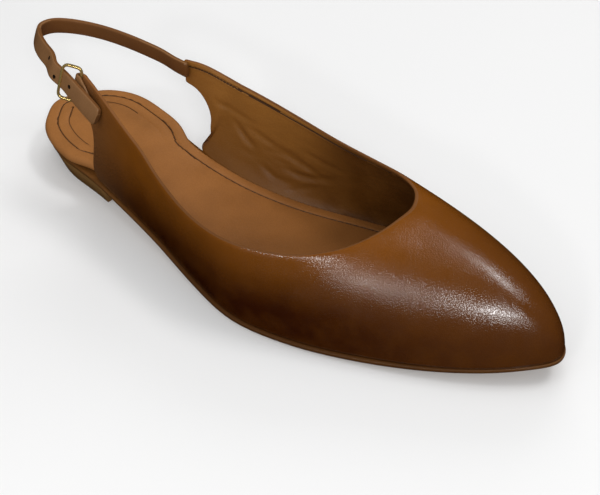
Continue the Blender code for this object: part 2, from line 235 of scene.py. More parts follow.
work = open_mesh(upper)
crease = work.edges.layers.float.new("crease_edge")
foot_faces = [face for face in work.faces if face.material_index == RIM
              and face.normal.z < FOOT_LOOKS_DOWN
              and face.calc_center_median().z < FOOT_BELOW]
turned = set()
for face in foot_faces:
    for edge in face.edges:
        kinds = {other.material_index for other in edge.link_faces}
        if kinds != {RIM}:
            edge[crease] = FOOT_CREASE
        if kinds == {RIM}:
            outer_end, inner_end = sorted(
                edge.verts, key=lambda end: INSIDE in {f.material_index for f in end.link_faces})
            if inner_end not in turned:
                inwards = inner_end.co - outer_end.co
                inwards.z = 0.0
                inner_end.co += inwards.normalized() * FOOT_TURN_IN
                turned.add(inner_end)
print("foot vertices turned in:", len(turned))

# %% [markdown]
# The inner quarter's top corner is trimmed down to the strap that starts there. The corner is
# the hindmost point high up on that side, and the trim fades out round it like a bell.

# %% Trim the inner quarter's corner
CORNER_DROP = 0.0024
CORNER_REACH = 0.007
CORNER_ABOVE = 0.7 * HEIGHT
BELL_END = 3.0

corner = min((vertex.co.copy() for vertex in work.verts
              if vertex.co.y > 0.0 and vertex.co.z > CORNER_ABOVE), key=lambda place: place.x)
for vertex in work.verts:
    away = (vertex.co - corner).length / CORNER_REACH
    if away < BELL_END:
        vertex.co.z -= CORNER_DROP * math.exp(-away * away)
print("corner trimmed at", corner)

# %% [markdown]
# At the toe the upper bulges a little over the sole. Its outside is pushed out there, more
# towards the tip and more towards the foot, and no inside vertex moves with it.

# %% Swell the upper's foot at the toe
TOE_SWELL = 0.0013
TOE_FROM, TOE_TO = 0.66 * LENGTH, 0.85 * LENGTH
SWELL_HEIGHT = 0.020


def between_0_and_1(share):
    return min(max(share, 0.0), 1.0)


work.normal_update()
for vertex in work.verts:
    forward = between_0_and_1((vertex.co.x - TOE_FROM) / (TOE_TO - TOE_FROM))
    low = between_0_and_1(1.0 - vertex.co.z / SWELL_HEIGHT)
    if forward * low > 0.0 and INSIDE not in {face.material_index for face in vertex.link_faces}:
        away = Vector((vertex.normal.x, vertex.normal.y, 0.0)).normalized()
        vertex.co += away * TOE_SWELL * forward * forward * (3.0 - 2.0 * forward) * low ** 0.5
print(f"toe swollen by up to {1000 * TOE_SWELL:.1f} mm")

# %% [markdown]
# A groove or a seam follows a border of the mesh, whose edges come in no order. They are joined
# end to end here, always with the nearest one next.

# %% Join loose edges into a line
def one_after_another(edges):
    """Join loose edges into one line of points, which starts at a free end if there is one."""
    left = [[end.copy().freeze() for end in edge] for edge in edges]
    ends = [end for edge in left for end in edge]
    free = [end for end in ends if ends.count(end) == 1]
    line = [free[0] if free else ends[0]]
    while left:
        edge = min(left, key=lambda pair: min((line[-1] - end).length for end in pair))
        left.remove(edge)
        line.append(max(edge, key=lambda end: (line[-1] - end).length))
    return line


# %% [markdown]
# The topline is traced before the mesh gets finer, because a groove follows it later. It is the
# border between the narrow rim and the inside. The fold's line lies a step below it, along the
# edges of the lining that run down from each of its points.

# %% Trace the topline
TOPLINE_FROM = 0.5 * HEIGHT
RIM_LOOKS_UP = 0.3
FOLD = 0.0024

topline = one_after_another(
    [end.co for end in edge.verts] for edge in work.edges
    if {face.material_index for face in edge.link_faces} == {INSIDE, RIM}
    and min(end.co.z for end in edge.verts) > TOPLINE_FROM
    and any(face.material_index == RIM and face.normal.z > RIM_LOOKS_UP
            for face in edge.link_faces))
down = {}
for edge in work.edges:
    if {face.material_index for face in edge.link_faces} == {INSIDE}:
        for start, end in (edge.verts, reversed(edge.verts)):
            down[start.co.copy().freeze()] = (end.co - start.co).normalized()
fold_line = [point + down[point] * FOLD for point in topline if point in down]
write_back(work, upper)
smooth(upper, 2)
print("topline points:", len(topline), "upper:", len(upper.data.polygons), "faces")

# %% [markdown]
# Leather that has been bent keeps soft creases. They could be painted with a bump alone, but
# then the light would glide over them, so they are pressed into the mesh. Each crease is a short
# route, given in shares of the shoe's own sizes, with its depth and half its width.
# A ridge rises beside each hollow, as on real leather, and both fade towards the route's ends.

# %% Press creases into the leather
LINING_CREASES = (
    (((0.338, 0.298, 0.480), (0.362, 0.289, 0.403), (0.385, 0.284, 0.356)), 0.00080, 0.0020),
    (((0.409, 0.299, 0.376), (0.442, 0.314, 0.384), (0.480, 0.327, 0.357), (0.512, 0.339, 0.309)),
     0.00085, 0.0019),
    (((0.369, 0.306, 0.480), (0.422, 0.307, 0.420), (0.470, 0.326, 0.402)), 0.00070, 0.0018),
    (((0.445, 0.299, 0.291), (0.473, 0.312, 0.269), (0.505, 0.334, 0.282), (0.530, 0.350, 0.320)),
     0.00100, 0.0018),
    (((0.462, 0.274, 0.138), (0.485, 0.307, 0.193), (0.510, 0.332, 0.233)), 0.00070, 0.0015),
    (((0.404, 0.267, 0.262), (0.432, 0.268, 0.203), (0.459, 0.287, 0.198)), 0.00060, 0.0018),
    (((0.300, 0.285, 0.600), (0.335, 0.300, 0.560), (0.380, 0.310, 0.520)), 0.00050, 0.0018),
    (((0.310, 0.280, 0.330), (0.350, 0.280, 0.300), (0.390, 0.275, 0.310)), 0.00050, 0.0020),
    (((0.480, 0.335, 0.460), (0.515, 0.345, 0.430), (0.550, 0.355, 0.420)), 0.00055, 0.0018),
    (((0.420, 0.300, 0.330), (0.450, 0.310, 0.325), (0.475, 0.320, 0.320)), 0.00045, 0.0014),
)
VAMP_CREASES = (
    (((0.605, -0.494, 0.397), (0.649, -0.450, 0.422), (0.687, -0.391, 0.459)), 0.00018, 0.0045),
    (((0.585, -0.505, 0.300), (0.640, -0.480, 0.310), (0.700, -0.430, 0.330)), 0.00015, 0.0050),
    (((0.560, 0.430, 0.520), (0.600, 0.440, 0.440), (0.650, 0.450, 0.350)), 0.00022, 0.0045),
    (((0.600, 0.440, 0.560), (0.650, 0.440, 0.470), (0.690, 0.440, 0.370)), 0.00018, 0.0045),
)
RIDGE = 1.2
ENDS = 0.12


def off_route(point, route):
    """Distance from a point to a route, and how far along the route the nearest place lies."""
    best, share = 1.0, 0.0
    for step, (start, end) in enumerate(zip(route, route[1:])):
        near, t = geometry.intersect_point_line(point, start, end)
        t = between_0_and_1(t)
        distance = (point - start.lerp(end, t)).length
        if distance < best:
            best, share = distance, (step + t) / (len(route) - 1)
    return best, share


def press(item, creases, side, even=False):
    """Push one side of a wall in along each route, with a soft ridge on both flanks."""
    faces = [face for face in item.data.polygons if face.material_index == side]
    numbers = sorted({number for face in faces for number in face.vertices})
    normals = [vector.vector.copy() for vector in item.data.vertex_normals]
    for places, depth, width in creases:
        route = [place if even else spot(*place) for place in places]
        for number in numbers:
            vertex = item.data.vertices[number]
            distance, share = off_route(vertex.co, route)
            if distance < BELL_END * width:
                reach = distance / width
                profile = (1.0 - RIDGE * reach * reach) * math.exp(-reach * reach)
                fade = 1.0 if even else math.sin(math.pi * (ENDS + (1.0 - 2.0 * ENDS) * share))
                vertex.co -= normals[number] * depth * profile * fade


press(upper, LINING_CREASES, INSIDE)
press(upper, VAMP_CREASES, OUTSIDE)
print("creases pressed:", len(LINING_CREASES) + len(VAMP_CREASES))

# %% [markdown]
# On the real shoe the outer leather is folded over at the topline, and the lining is cut just
# below the fold. From inside that makes two light ridges with a dark groove between them. The
# mesh is made finer there first, and then the groove is pressed in along the traced line.

# %% Fold the leather over at the topline
FOLD_GROOVE = 0.0007
FOLD_GROOVE_WIDTH = 0.00055
HALF_FACE = 0.0006
FOLD_SHADE = 3

fold_line = [upper.closest_point_on_mesh(point)[1] for point in fold_line]
near_fold = [face.material_index == INSIDE
             and off_route(face.center, fold_line)[0] < BELL_END * FOLD_GROOVE_WIDTH + HALF_FACE
             for face in upper.data.polygons]
print("faces near the fold:", pick_faces(upper, lambda face: near_fold[face.index]))
bpy.ops.mesh.subdivide(number_cuts=2, smoothness=0.0)
bpy.ops.object.mode_set(mode="OBJECT")
press(upper, ((fold_line, FOLD_GROOVE, FOLD_GROOVE_WIDTH),), INSIDE, even=True)
# The faces in the groove get a dark colour, which is painted shade.
for face in upper.data.polygons:
    if (face.material_index == INSIDE
            and off_route(face.center, fold_line)[0] < FOLD_GROOVE_WIDTH):
        face.material_index = FOLD_SHADE
bpy.ops.object.shade_smooth()
install(upper, "upper_leather", "upper")
print("upper:", len(upper.data.polygons), "faces")

# %% [markdown]
# The insole is a board with a padded leather sock. At the open heel the leather is wrapped round
# a full rim. The sock is stitched all round in a narrow channel. Two insets of the flat top make
# it: the first leaves the border, and the second goes down into the channel. A third one comes
# up again. The same is done once more for the line of the heel pad, which lies under the sock and
# fades out towards the arch.

# %% Shape the insole
SOCK_BORDER = 0.0032
CHANNEL_WIDTH = 0.00045
CHANNEL_DEPTH = 0.0008
PAD_BORDER = 0.0042
PAD_DEPTH = 0.0009
PAD_FADES = (HEEL_BACK + 0.16 * LENGTH, HEEL_BACK + 0.24 * LENGTH)
PAD_FRONT = HEEL_BACK + 0.30 * LENGTH
FLAT = math.radians(8.0)
LOOKS_UP = 0.85


def selection_border(item):
    """The edges between what is selected and what isn't, as pairs of places."""
    work = open_mesh(item)
    edges = [[end.co.copy() for end in edge.verts] for edge in work.edges
             if sum(face.select for face in edge.link_faces) == 1]
    work.free()
    return edges


insole = welded_copy("insole", "insole_sock")
work = open_mesh(insole)
upward = [face for face in work.faces if face.normal.z > LOOKS_UP]
flat_top = {face.index for face in islands(upward, FLAT)[0]}
work.free()
print("sock faces:", pick_faces(insole, lambda face: face.index in flat_top))
inset(SOCK_BORDER)
inset(CHANNEL_WIDTH, -CHANNEL_DEPTH)
bpy.ops.object.mode_set(mode="OBJECT")
channel_line = one_after_another(selection_border(insole))
bpy.ops.object.mode_set(mode="EDIT")
inset(CHANNEL_WIDTH, CHANNEL_DEPTH)
bpy.ops.object.mode_set(mode="OBJECT")
inner = [face.select for face in insole.data.polygons]
print("pad faces:", pick_faces(insole, lambda face: inner[face.index]
                               and face.center.x < PAD_FRONT))
inset(PAD_BORDER)
inset(CHANNEL_WIDTH)
bpy.ops.object.mode_set(mode="OBJECT")
pad_line = one_after_another(selection_border(insole))
bpy.ops.object.mode_set(mode="EDIT")
inset(CHANNEL_WIDTH)
bpy.ops.object.mode_set(mode="OBJECT")
pad_places = {place.copy().freeze() for place in pad_line}
for vertex in insole.data.vertices:
    if vertex.co.copy().freeze() in pad_places:
        start, end = PAD_FADES
        vertex.co.z -= PAD_DEPTH * between_0_and_1((end - vertex.co.x) / (end - start))
smooth(insole, 2)
print("insole:", len(insole.data.polygons), "faces,", len(channel_line), "places in the channel")

# %% [markdown]
# Little light reaches the bottom of a seam. The faces that lie in the channel or in the front of
# the pad's line get a number of their own, and later a darker leather.

# %% Find the faces in the seams
SEAM = 1
SEAM_LOOKS_UP = 0.2
SEAM_REACH = 0.75 * CHANNEL_WIDTH

seams = [[Vector((place.x, place.y, 0.0)) for place in line]
         for line in (channel_line, [place for place in pad_line if place.x < PAD_FADES[0]])]


def seam_floor(along):
    """A height between the insole's top and its underside, which has no seam."""
    return min(channel_line, key=lambda place: abs(place.x - along)).z - CHANNEL_DEPTH


for face in insole.data.polygons:
    if face.normal.z > SEAM_LOOKS_UP and face.center.z > seam_floor(face.center.x):
        level = Vector((face.center.x, face.center.y, 0.0))
        if min(off_route(level, line)[0] for line in seams) < SEAM_REACH:
            face.material_index = SEAM
bpy.ops.object.shade_smooth()
install(insole, "insole_leather", "insole")
print("faces in the seams:", sum(face.material_index == SEAM for face in insole.data.polygons))

# %% [markdown]
# A dark thread runs in the channel and comes up between the holes as short stitches. One stitch
# is modelled with few faces and copied along the channel, because there are many of them.

# %% Sew the sock
STITCH_LENGTH = 0.0029
STITCH_EVERY = 0.0034
THREAD = 0.00028
THREAD_FLATNESS = 0.7
STITCH_SIDES, STITCH_RINGS = 8, 6
UP = Vector((0.0, 0.0, 1.0))


def walk(line, every):
    """Places at equal distances along a line of points, each with its direction."""
    lengths = [(b - a).length for a, b in zip(line, line[1:])]
    count = round(sum(lengths) / every)
    places, passed, step = [], 0.0, 0
    for number in range(count):
        wanted = sum(lengths) * number / count
        while passed + lengths[step] < wanted:
            passed += lengths[step]
            step += 1
        start, end = line[step], line[step + 1]
        share = (wanted - passed) / lengths[step]
        places.append((start.lerp(end, share), (end - start).normalized()))
    return places


select_only(insole)
bpy.ops.mesh.primitive_uv_sphere_add(segments=STITCH_SIDES, ring_count=STITCH_RINGS,
                                     radius=THREAD)
stitch = bpy.context.object
bpy.ops.object.mode_set(mode="EDIT")
bpy.ops.transform.resize(value=(0.5 * STITCH_LENGTH / THREAD, 1.0, THREAD_FLATNESS))
bpy.ops.object.mode_set(mode="OBJECT")
bpy.ops.object.shade_smooth()

sewn = bmesh.new()
for place, direction in walk(channel_line, STITCH_EVERY):
    level = direction.cross(UP).normalized()
    turn = Matrix((direction, -level, UP)).transposed().to_4x4()
    one = stitch.data.copy()
    one.transform(Matrix.Translation(place + UP * 0.5 * CHANNEL_DEPTH) @ turn)
    sewn.from_mesh(one)
    bpy.data.meshes.remove(one)
stitches = bpy.data.objects.new("sock_stitching", bpy.data.meshes.new("sock_stitching"))
bpy.context.scene.collection.objects.link(stitches)
write_back(sewn, stitches)
bpy.data.objects.remove(stitch)
select_only(stitches)
bpy.ops.object.shade_smooth()
install(stitches, "insole_leather")
print("stitches:", len(stitches.data.polygons) // (STITCH_SIDES * STITCH_RINGS))

# %% [markdown]
# The sling strap is two layers of leather, glued back to back and cut to one width. The solid
# has a round edge, so the two points in the middle of each edge are drawn in, which parts the
# layers. A ring of the strap has ten points, and the two that lie farthest from its middle are
# the ones to move. From one ring to the next it is only a step along the edges.

# %% Part the strap's two layers
LAYER_GROOVE = 0.00055
RING = 10

strap = welded_copy("sling_strap", "strap_leather")
work = open_mesh(strap)
ring = sorted((vertex for vertex in work.verts if vertex.co.y > 0.0),
              key=lambda vertex: -vertex.co.x)[:RING]
seen, rings = set(ring), []
while len(ring) == RING:
    middle = sum((vertex.co for vertex in ring), Vector()) / RING
    ends = sorted(ring, key=lambda vertex: -(vertex.co - middle).length)[:2]
    rings.append((ring, middle, (ends[0].co - ends[1].co).normalized()))
    for vertex in ends:
        vertex.co += (middle - vertex.co).normalized() * LAYER_GROOVE
    near = {edge.other_vert(vertex) for vertex in ring for edge in vertex.link_edges}
    ring = list(near - seen)
    seen |= near
print("strap rings:", len(rings))

# %% [markdown]
# The tail is cut a little wider than the rest and straight at its end, so its last rings are
# widened across the strap. The start is lifted level with the quarter's topline.

# %% Shape the strap's tail and start
TAIL_SQUARING = (2.0, 1.30, 1.12)
TAIL_SPREAD = 0.16
TAIL_RINGS = 22
START_RISE = 0.0014
START_RINGS = 10


def widen(ring, middle, across, gain):
    for vertex in ring:
        vertex.co += across * (vertex.co - middle).dot(across) * (gain - 1.0)


for place, gain in zip(reversed(rings), TAIL_SQUARING):
    widen(*place, gain)
for number, place in enumerate(rings[-TAIL_RINGS:]):
    widen(*place, 1.0 + TAIL_SPREAD * (number + 1) / TAIL_RINGS)
for number, (ring, _, _) in enumerate(rings[:START_RINGS]):
    for vertex in ring:
        vertex.co.z += START_RISE * (1.0 - number / START_RINGS)
print("rings widened:", TAIL_RINGS, "rings lifted:", START_RINGS)

# %% [markdown]
# The two layers get numbers of their own, because they are finished differently. The outer layer
# looks away from an upright line through the heel's middle.

# %% Tell the strap's layers apart
AXIS = Vector((0.22 * LENGTH, 0.0, 0.0))
OUTER_LAYER, INNER_LAYER, HOLE_SHADE = 0, 1, 2
work.normal_update()
for face in work.faces:
    outwards = face.calc_center_median() - AXIS
    outwards.z = 0.0
    face.material_index = OUTER_LAYER if face.normal.dot(outwards) > 0.0 else INNER_LAYER
write_back(work, strap)
smooth(strap, 2)
print("strap:", len(strap.data.polygons), "faces")

# %% [markdown]
# Three holes are punched through the strap, two of them behind the buckle and one in the tail.
# A round cutter stands upright on the strap at each hole, and a Boolean takes it away. This
# comes after the smoothing, which would have made the small round holes soft and oval.

# %% Punch the strap's holes
HOLES = ((0.180, -0.314, 0.933), (0.137, -0.296, 0.926), (0.109, -0.244, 0.991))
HOLE_RADIUS = 0.0009
CUTTER_LENGTH = 0.012
CUTTER_SIDES = 24
WALL_WITHIN = 1.02 * HOLE_RADIUS
STEEP = 0.5
STRAP_EDGE = math.radians(35.0)


def punch(item, place):
    """Punch one round hole and give its wall the number of the hole's painted shade."""
    _, middle, normal, _ = item.closest_point_on_mesh(place)
    bpy.ops.object.select_all(action="DESELECT")
    bpy.ops.mesh.primitive_cylinder_add(vertices=CUTTER_SIDES, radius=HOLE_RADIUS,
                                        depth=CUTTER_LENGTH, location=middle,
                                        rotation=normal.to_track_quat("Z", "Y").to_euler())
    cutter = bpy.context.object
    finish_with(item, "BOOLEAN", operation="DIFFERENCE", solver="EXACT", object=cutter)
    bpy.data.objects.remove(cutter)
    for face in item.data.polygons:
        away = face.center - middle
        away -= normal * away.dot(normal)
        if away.length < WALL_WITHIN and abs(face.normal.dot(normal)) < STEEP:
            face.material_index = HOLE_SHADE


for hole in HOLES:
    punch(strap, spot(*hole))
select_only(strap)
bpy.ops.object.shade_smooth_by_angle(angle=STRAP_EDGE)
install(strap, "strap_leather", "sling_strap")
print("strap:", len(strap.data.polygons), "faces, holes:", len(HOLES))

# %% [markdown]
# A folded tab of leather ties the buckle to the quarter. Its solid has the right form, and only
# its facets have to go.

# %% Smooth the tab
tab = welded_copy("strap_loop", "buckle_tab")
smooth(tab, 2)
install(tab, "strap_leather", "strap_loop")
print("tab:", len(tab.data.polygons), "faces")

# %% [markdown]
# The buckle is a frame of smooth round wire. It is drawn shorter than its solid, while its front
# bar stays in the tab. A ray from outside finds the strap under the back bar, and the frame is
# swung out until that bar lies over the strap.

# %% Shorten the buckle and lay its bar over the strap
BUCKLE_SHARE = 0.66
BAR_CLEARANCE = 0.0011
RAY_START = 0.05

buckle = welded_copy("buckle", "buckle_wire")
places = [vertex.co.copy() for vertex in buckle.data.vertices]
middle = sum(places, Vector()) / len(places)
front = [place for place in places if place.x > middle.x]
lengthwise = (sum(front, Vector()) / len(front) - middle).normalized()
reach = max((place - middle).dot(lengthwise) for place in places)
back_bar = middle + lengthwise * reach * (1.0 - 2.0 * BUCKLE_SHARE)
outwards = Vector((back_bar.x - AXIS.x, back_bar.y - AXIS.y, 0.0)).normalized()
_, strap_face, _, _ = strap.ray_cast(back_bar + outwards * RAY_START, -outwards)
push = (strap_face + outwards * BAR_CLEARANCE - back_bar).dot(outwards)
print(f"back bar pushed out by {1000 * push:.2f} mm")
for vertex in buckle.data.vertices:
    behind = (reach - (vertex.co - middle).dot(lengthwise)) / (2.0 * reach)
    vertex.co += lengthwise * behind * 2.0 * reach * (1.0 - BUCKLE_SHARE)
    vertex.co += outwards * push * behind
smooth(buckle, 2)
install(buckle, "buckle_metal", "buckle")
print("buckle:", len(buckle.data.polygons), "faces")

# %% [markdown]
# The heel block and the sole are cut from stiff board and leather. Their edges are rubbed down
# with a hot iron, so they get a small round bevel, and the broad sides stay flat.

# %% Round the edges of the heel and the sole
HEEL_EDGE = 0.0006
SOLE_EDGE = 0.0003
HEEL_CORNER = math.radians(40.0)
SOLE_CORNER = math.radians(50.0)

heel = welded_copy("heel", "heel_block")
finish_with(heel, "BEVEL", width=HEEL_EDGE, segments=3, limit_method="ANGLE",
            angle_limit=HEEL_CORNER)
select_only(heel)
bpy.ops.object.shade_smooth_by_angle(angle=HEEL_CORNER)
install(heel, "heel_block", "heel")

outsole = welded_copy("outsole", "sole_leather")
finish_with(outsole, "BEVEL", width=SOLE_EDGE, segments=2, limit_method="ANGLE",
            angle_limit=SOLE_CORNER)
smooth(outsole, 1)
install(outsole, "sole", "outsole")
print("heel:", len(heel.data.polygons), "faces, sole:", len(outsole.data.polygons), "faces")

# %% [markdown]
# Now the finishes. A material is a tree of nodes, and its maths is easier to read as plain
# Python. The class below wraps a socket, so that adding or multiplying two of them adds a Math
# node. Every other node comes from one method, which sets the node's own settings first.

# %% Write shader maths as Python
class Value:
    """A socket in a material's tree. Python's operators on it add Math nodes."""

    def __init__(self, finish, socket):
        self.finish, self.socket = finish, socket

    def maths(self, operation, first, second):
        return self.finish.node("ShaderNodeMath", {"operation": operation},
                                {0: first, 1: second})

    def __add__(self, other):
        return self.maths("ADD", self, other)

    def __radd__(self, other):
        return self.maths("ADD", other, self)

    def __sub__(self, other):
        return self.maths("SUBTRACT", self, other)

    def __rsub__(self, other):
        return self.maths("SUBTRACT", other, self)

    def __mul__(self, other):
        return self.maths("MULTIPLY", self, other)


class Finish:
    """A material that is built up node by node."""

    def __init__(self, name):
        self.material = bpy.data.materials.new(name)
        self.material.use_nodes = True
        self.tree = self.material.node_tree
        self.tree.nodes.clear()

    def node(self, kind, settings, inputs, output=0):
        item = self.tree.nodes.new(kind)
        for key, value in settings.items():
            setattr(item, key, value)
        for key, value in inputs.items():
            if isinstance(value, Value):
                self.tree.links.new(value.socket, item.inputs[key])
            elif isinstance(value, tuple) and item.inputs[key].type == "RGBA":
                item.inputs[key].default_value = (*value, 1.0)
            else:
                item.inputs[key].default_value = value
        return Value(self, item.outputs[output]) if item.outputs else None

    def place(self):
        return self.node("ShaderNodeTexCoord", {}, {}, "Object")

    def axis(self, name):
        return self.node("ShaderNodeSeparateXYZ", {}, {0: self.place()}, name)

    def noise(self, size, detail=2.0, stretch=None):
        """Soft cloudy variation from 0 to 1. The size is that of its patches."""
        where = self.place()
        if stretch:
            where = self.node("ShaderNodeVectorMath", {"operation": "MULTIPLY"},
                              {0: where, 1: stretch})
        return self.node("ShaderNodeTexNoise", {},
                         {"Vector": where, "Scale": 1.0 / size, "Detail": detail})

    def cells(self, size, warp):
        """Distances in a warped pattern of cells, which make pores and fine grain."""
        where = self.place()
        bent = self.node("ShaderNodeTexNoise", {}, {"Vector": where, "Scale": 1.0 / size,
                                                    "Detail": 1.0}, "Color")
        bent = self.node("ShaderNodeVectorMath", {"operation": "SCALE"},
                         {0: bent, "Scale": warp * size})
        where = self.node("ShaderNodeVectorMath", {"operation": "ADD"}, {0: where, 1: bent})
        return self.node("ShaderNodeTexVoronoi", {}, {"Vector": where, "Scale": 1.0 / size})

    def between(self, value, low, high):
        """0 below the low value, 1 above the high one, and soft between."""
        return self.node("ShaderNodeMapRange", {"interpolation_type": "SMOOTHSTEP"},
                         {"Value": value, "From Min": low, "From Max": high})

    def mix(self, share, first, second):
        return self.node("ShaderNodeMix", {"data_type": "RGBA"},
                         {0: share, 6: first, 7: second}, 2)

    def bump(self, height, depth):
        """The height is in shares of the depth, and the depth in metres."""
        return self.node("ShaderNodeBump", {}, {"Height": height, "Distance": depth,
                                                "Strength": 1.0})

    def shader(self, **sockets):
        """The surface. Its sockets are named with underscores instead of spaces."""
        inputs = {key.replace("_", " "): value for key, value in sockets.items()}
        surface = self.node("ShaderNodeBsdfPrincipled", {}, inputs)
        self.node("ShaderNodeOutputMaterial", {}, {"Surface": surface})
        return self.material


print("shader helpers are ready")

# %% [markdown]
# All the leathers are one recipe with other values. The colour goes from light to dark with the
# height, and the border between the two wanders. Cloudy patches and the creases of the grain are
# darker still. The grain is a bump of small cells, and long wrinkles can be added to it. The
# gloss comes from the leather itself, under a thin coat of polish, and it is softer in places.
# The colours are linear values, and each pattern has the size of the real one.

# %% Write one recipe for leather
GRAIN, GRAIN_WARP = 0.00048, 0.6
GRAIN_CREASE = (0.15, 0.75)
RELIEF = 0.00005
FINE_GRAIN, FINE_SHARE = 0.00035, 0.3
CLOUD, WANDER = 0.020, 0.010
PATCH, PATCH_EDGES, PATCH_SHARE, PATCH_TINT = 0.011, (0.35, 0.7), 0.25, 0.62
PORE_SHARE, PORE_TINT = 0.12, 0.5
GLOSS_PATCH, GLOSS_CHANGE = 0.006, 0.16
WRINKLE, WRINKLE_STRETCH = 0.006, (0.5, 1.0, 1.3)


def leather(name, light, dark, dark_from, dark_to, **looks):
    """Grained leather that goes from light to dark with the height, with its own gloss."""
    finish = Finish(name)
    high = finish.axis("Z") + (finish.noise(CLOUD) - 0.5) * WANDER
    colour = finish.mix(finish.between(high, dark_to, dark_from), dark, light)
    for start, end, share, tint in looks.get("along", ()):
        there = finish.between(finish.axis("X"), start * LENGTH, end * LENGTH)
        colour = finish.mix(there * share, colour, tint)
    patches = finish.between(finish.noise(PATCH, detail=4.0), *PATCH_EDGES)
    colour = finish.mix(patches * PATCH_SHARE, colour, tuple(PATCH_TINT * part for part in light))
    creases = finish.between(finish.cells(looks.get("grain", GRAIN), GRAIN_WARP), *GRAIN_CREASE)
    colour = finish.mix(creases * PORE_SHARE, colour, tuple(PORE_TINT * part for part in dark))
    height = (1.0 - creases) + finish.noise(FINE_GRAIN) * FINE_SHARE
    relief = looks.get("relief", RELIEF)
    if "wrinkles" in looks:
        soft = finish.noise(WRINKLE, detail=3.0, stretch=WRINKLE_STRETCH)
        height = height + soft * (looks["wrinkles"] / relief)
    rough = looks["roughness"] + (finish.noise(GLOSS_PATCH, detail=3.0) - 0.5) * GLOSS_CHANGE
    return finish.shader(Base_Color=colour, Roughness=rough,
                         Coat_Weight=looks["coat"], Coat_Roughness=looks["coat_roughness"],
                         Specular_IOR_Level=looks.get("specular", 0.3),
                         Normal=finish.bump(height, relief))


# %% [markdown]
# The upper is smooth cowhide with a fine grain, dyed cognac and polished. It is darker near the
# sole, partly from burnished polish and partly as painted shade, and it is darker at the toe.
# The back of the quarters has a lighter, greyer patch, which is a painted sheen.
# The lining is matt and wrinkled, and a painted shadow darkens it under the vamp. The cut edge
# is bare leather, and the groove below it is darkened with painted shade.

# %% Finish the upper
COGNAC = (0.220, 0.068, 0.005)
COGNAC_BURNISH_AND_SHADE = (0.034, 0.006, 0.0003)
COGNAC_TOE = (0.100, 0.031, 0.006)
COGNAC_PAINTED_SHEEN = (0.200, 0.095, 0.040)
LINING_PAINTED_SHADOW = (0.065, 0.020, 0.001)

# Near the sole: burnished polish and painted shade. At the quarters' back: a painted sheen.
outer = leather("polished_cognac_leather", COGNAC, COGNAC_BURNISH_AND_SHADE, 0.047, 0.014,
                along=((0.55, 0.85, 0.75, COGNAC_TOE), (0.25, 0.06, 0.65, COGNAC_PAINTED_SHEEN)),
                roughness=0.21, specular=0.75, coat=0.08, coat_roughness=0.14, relief=0.00003)
# Under the vamp the lining turns to a painted shadow.
lining = leather("brown_lining_leather", (0.330, 0.138, 0.026), (0.160, 0.060, 0.009), 0.046,
                 0.010, roughness=0.46, coat=0.10, coat_roughness=0.3, relief=0.00003,
                 grain=0.0006, wrinkles=0.00035, along=((0.34, 0.47, 0.85, LINING_PAINTED_SHADOW),))
edge = leather("cut_leather_edge", (0.250, 0.095, 0.024), (0.150, 0.055, 0.012), 0.058, 0.040,
               roughness=0.55, coat=0.05, coat_roughness=0.3, relief=0.00003, grain=0.0005)
# The groove's dark colour is painted shade.
groove = leather("fold_groove_painted_shade", (0.085, 0.033, 0.009), (0.050, 0.018, 0.004), 0.060, 0.030,
                 roughness=0.7, coat=0.0, coat_roughness=0.3, relief=0.00002)
for material in (outer, lining, edge, groove):
    upper.data.materials.append(material)
print("upper finishes:", [material.name for material in upper.data.materials])

# %% [markdown]
# The sock is a lighter tan, rubbed smooth by hand, and its low parts are a little darker. The
# faces in the seams are in shade. The thread is dark brown, waxed and slightly shiny.

# %% Finish the sock and its thread
FIBRE, FIBRE_RELIEF, THREAD_PATCH = 0.0003, 0.00004, 0.0012

sock = leather("tan_sock_leather", (0.370, 0.148, 0.038), (0.250, 0.095, 0.022), 0.016, 0.002,
               roughness=0.46, coat=0.15, coat_roughness=0.25, relief=0.00003, grain=0.0007)
shade = leather("sock_seam_shade", (0.110, 0.042, 0.012), (0.150, 0.060, 0.018), 0.016, 0.002,
                roughness=0.6, coat=0.0, coat_roughness=0.3, relief=0.00002)
for material in (sock, shade):
    insole.data.materials.append(material)
finish = Finish("waxed_dark_thread")
browns = finish.mix(finish.noise(THREAD_PATCH), (0.060, 0.024, 0.008), (0.110, 0.048, 0.016))
stitches.data.materials.append(finish.shader(
    Base_Color=browns, Roughness=0.5, Normal=finish.bump(finish.noise(FIBRE), FIBRE_RELIEF)))
print("sock finishes:", [material.name for material in insole.data.materials])

# %% [markdown]
# The strap and the tab are a lighter tan than the upper, with a softer gloss. The strap's inner
# layer is bare, and the walls of the holes are near black, which is painted shade.

# %% Finish the strap and the tab
strap_outer = leather("strap_outer_leather", (0.270, 0.130, 0.050), (0.200, 0.088, 0.028), 0.056,
                      0.040, roughness=0.38, coat=0.35, coat_roughness=0.2)
strap_inner = leather("strap_inner_leather", (0.190, 0.074, 0.018), (0.140, 0.052, 0.012), 0.056,
                      0.040, roughness=0.58, coat=0.05, coat_roughness=0.3)
# The near-black hole walls are painted shade.
hole_wall_shade = leather("punched_hole_painted_shade", (0.020, 0.009, 0.004), (0.012, 0.005, 0.002), 0.056, 0.040,
              roughness=0.8, coat=0.0, coat_roughness=0.3)
for material in (strap_outer, strap_inner, hole_wall_shade):
    strap.data.materials.append(material)
tab.data.materials.append(strap_outer)
print("strap finishes:", [material.name for material in strap.data.materials])

# %% [markdown]
# The heel block is covered in dark olive-brown leather, and the sole's edge is inked dark. The
# sole's underside is bare veg-tanned leather, which is lighter and rubbed dull. The faces that
# look down are picked by their direction.

# %% Finish the heel and the sole
EDGE, UNDERSIDE = 0, 1
FACES_DOWN = -0.8

